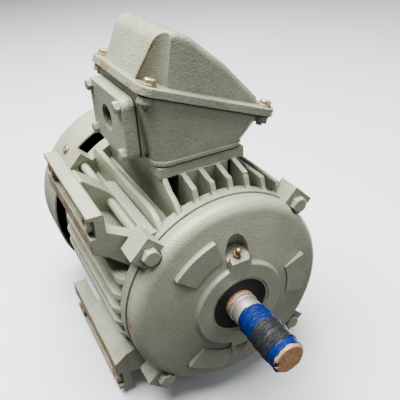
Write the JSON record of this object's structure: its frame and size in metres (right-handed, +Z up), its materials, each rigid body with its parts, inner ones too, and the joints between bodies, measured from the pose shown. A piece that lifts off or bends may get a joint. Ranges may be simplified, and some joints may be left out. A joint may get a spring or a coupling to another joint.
{
  "type": "alternating current motor",
  "caption": "Foot-mounted, fan-cooled induction motor with a finned cast frame, keyed shaft, ball bearings and a side terminal box with a sloping lid.",
  "frame": {"origin": "centre of the foot bolt pattern, on the plane the feet stand on", "axes": "+X along the shaft towards its free end, +Z up from the feet, terminal box on the -Y side"},
  "size_m": [0.3769, 0.3523, 0.226],
  "materials": {
    "frame_paint": "satin grey-green enamel over cast iron",
    "cover_paint": "satin grey-green enamel",
    "zinc_screws": "yellow zinc plate",
    "plug_steel": "rusted steel",
    "shaft_steel": "ground steel, lightly rusted",
    "bearing_steel": "polished bearing steel",
    "lamination_steel": "laminated steel",
    "winding_copper": "varnished copper wire",
    "cage_aluminium": "cast aluminium",
    "seal_rubber": "black rubber",
    "lead_insulation": "black insulation",
    "fan_plastic": "black moulded plastic",
    "board_plastic": "brown moulded board",
    "terminal_brass": "plain brass"
  },
  "bodies": {
    "motor_body": {"frame_housing": "frame_paint", "drive_end_shield": "frame_paint", "rear_end_shield": "frame_paint", "drive_end_bolts": "frame_paint", "rear_end_bolts": "frame_paint", "drive_end_seal": "seal_rubber", "grease_nipple": "zinc_screws", "grease_relief_plug": "plug_steel", "wave_spring": "plug_steel", "stator_core": "lamination_steel", "stator_winding": "winding_copper", "motor_leads": "lead_insulation", "fan_cover": "cover_paint", "fan_cover_screws": "zinc_screws", "terminal_box_body": "frame_paint", "terminal_box_lid": "frame_paint", "lid_gasket": "seal_rubber", "lid_screws": "zinc_screws", "box_gasket": "seal_rubber", "box_screws": "zinc_screws", "conduit_plate": "frame_paint", "conduit_plate_gasket": "seal_rubber", "conduit_plate_bolts": "frame_paint", "terminal_board": "board_plastic", "terminal_studs": "terminal_brass", "terminal_nuts": "terminal_brass", "earth_screw": "zinc_screws", "drive_end_bearing_outer_race": "bearing_steel", "rear_bearing_outer_race": "bearing_steel"},
    "rotor": {"shaft": "shaft_steel", "rotor_core": "lamination_steel", "rotor_cage": "cage_aluminium", "rear_v_ring": "seal_rubber", "cooling_fan": "fan_plastic", "fan_clip": "plug_steel", "drive_end_bearing_inner_race": "bearing_steel", "rear_bearing_inner_race": "bearing_steel"},
    "drive_end_ball_set": {"drive_end_bearing_balls": "bearing_steel", "drive_end_bearing_cage": "bearing_steel"},
    "rear_ball_set": {"rear_bearing_balls": "bearing_steel", "rear_bearing_cage": "bearing_steel"}
  },
  "joints": [
    {"name": "rotor_spin", "type": "hinge", "parent": "motor_body", "child": "rotor", "pos_m": [0, 0, 0.1143], "axis": [1, 0, 0], "continuous": true},
    {"name": "drive_end_ball_orbit", "type": "hinge", "parent": "motor_body", "child": "drive_end_ball_set", "pos_m": [0.104, 0, 0.1143], "axis": [1, 0, 0], "continuous": true},
    {"name": "rear_ball_orbit", "type": "hinge", "parent": "motor_body", "child": "rear_ball_set", "pos_m": [-0.1105, 0, 0.1143], "axis": [1, 0, 0], "continuous": true}
  ],
  "couplings": [
    {"joint": "drive_end_ball_orbit", "follows": "rotor_spin", "ratio": 0.3965},
    {"joint": "rear_ball_orbit", "follows": "rotor_spin", "ratio": 0.3969}
  ]
}
